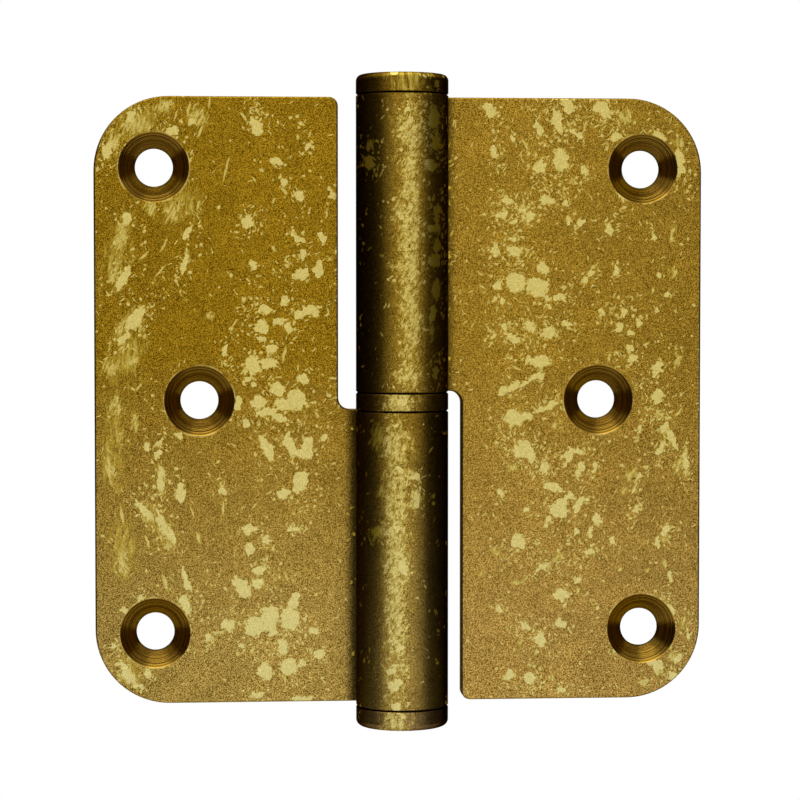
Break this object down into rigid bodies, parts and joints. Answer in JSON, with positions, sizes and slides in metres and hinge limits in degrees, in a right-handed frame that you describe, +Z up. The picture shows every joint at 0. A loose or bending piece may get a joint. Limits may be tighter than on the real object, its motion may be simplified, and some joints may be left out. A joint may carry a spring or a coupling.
{
  "type": "lift-off hinge",
  "caption": "Round-cornered lift-off hinge in antiqued brass plate: sheet leaves with rolled knuckles and countersunk holes on a fixed pin, with a bearing ring and end caps.",
  "frame": {"origin": "on the pin axis, midway between the top and the bottom of the leaves", "axes": "+Z up along the pin, towards the side the door leaf lifts off; -Y out of the countersunk faces; +X from the pin across the door leaf, with the hinge opened flat"},
  "size_m": [0.0804, 0.012, 0.0852],
  "materials": {
    "leaf_plating": "darkened brass plate on steel sheet, rubbed back to pale brass in patches",
    "ring_brass": "turned brass, darkened and rubbed",
    "cap_brass": "turned brass, darkened and rubbed on its edge",
    "pin_steel": "turned bright steel, lightly oiled"
  },
  "bodies": {
    "frame_side": {"frame_leaf": "leaf_plating", "hinge_pin": "pin_steel", "bottom_cap": "cap_brass"},
    "ring": {"bearing_ring": "ring_brass"},
    "door_side": {"door_leaf": "leaf_plating", "top_cap": "cap_brass"}
  },
  "joints": [
    {"name": "swing", "type": "hinge", "parent": "frame_side", "child": "ring", "pos_m": [0, 0, 0], "axis": [0, 0, 1], "range_deg": [-180, 100]},
    {"name": "lift_off", "type": "slide", "parent": "ring", "child": "door_side", "axis": [0, 0, 1], "range_m": [0, 0.036]}
  ]
}
